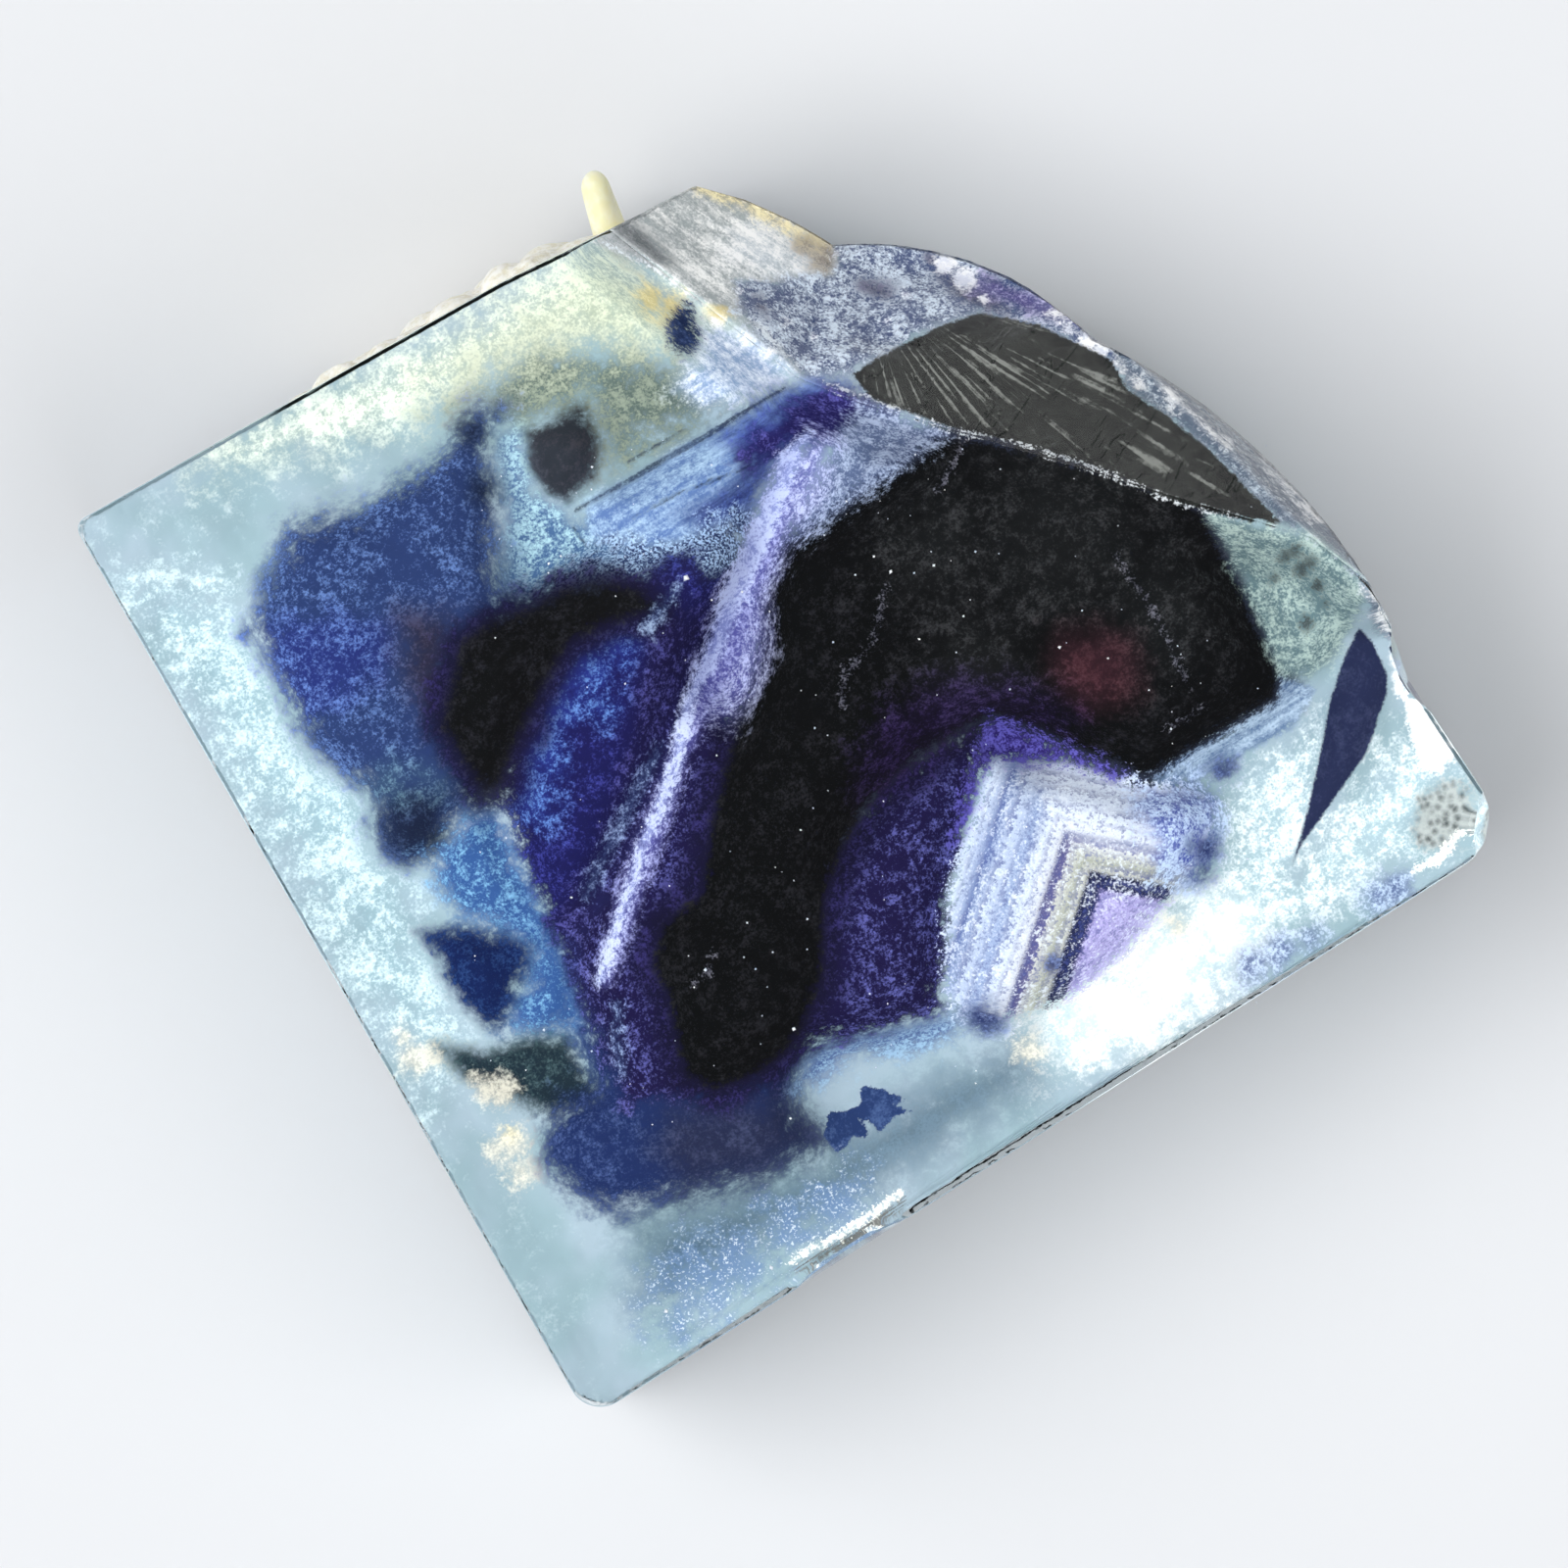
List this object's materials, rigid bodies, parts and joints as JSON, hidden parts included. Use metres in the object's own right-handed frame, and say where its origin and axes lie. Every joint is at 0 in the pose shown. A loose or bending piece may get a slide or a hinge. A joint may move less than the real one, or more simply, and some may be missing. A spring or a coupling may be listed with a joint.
{
  "type": "cube-shaped fluorite crystal with a broken corner",
  "caption": "See-through cube-shaped fluorite crystal with a dark zoned core, one corner broken off and a pale crust with a spike on one side.",
  "frame": {"origin": "centre of the base square, on the flat back face that the crystal lies on", "axes": "+X along the lower edge of the front face, +Y along its left edge, +Z out of the front face"},
  "size_m": [0.0337, 0.033, 0.016],
  "materials": {
    "fluorite": "clear to milky pale aqua with navy and violet zones round a black core, glossy natural faces",
    "crust": "matte cream white lumps with a waxy pale yellow spike"
  },
  "bodies": {
    "root": {"fluorite_crystal": "fluorite", "calcite_crust": "crust"}
  },
  "joints": []
}
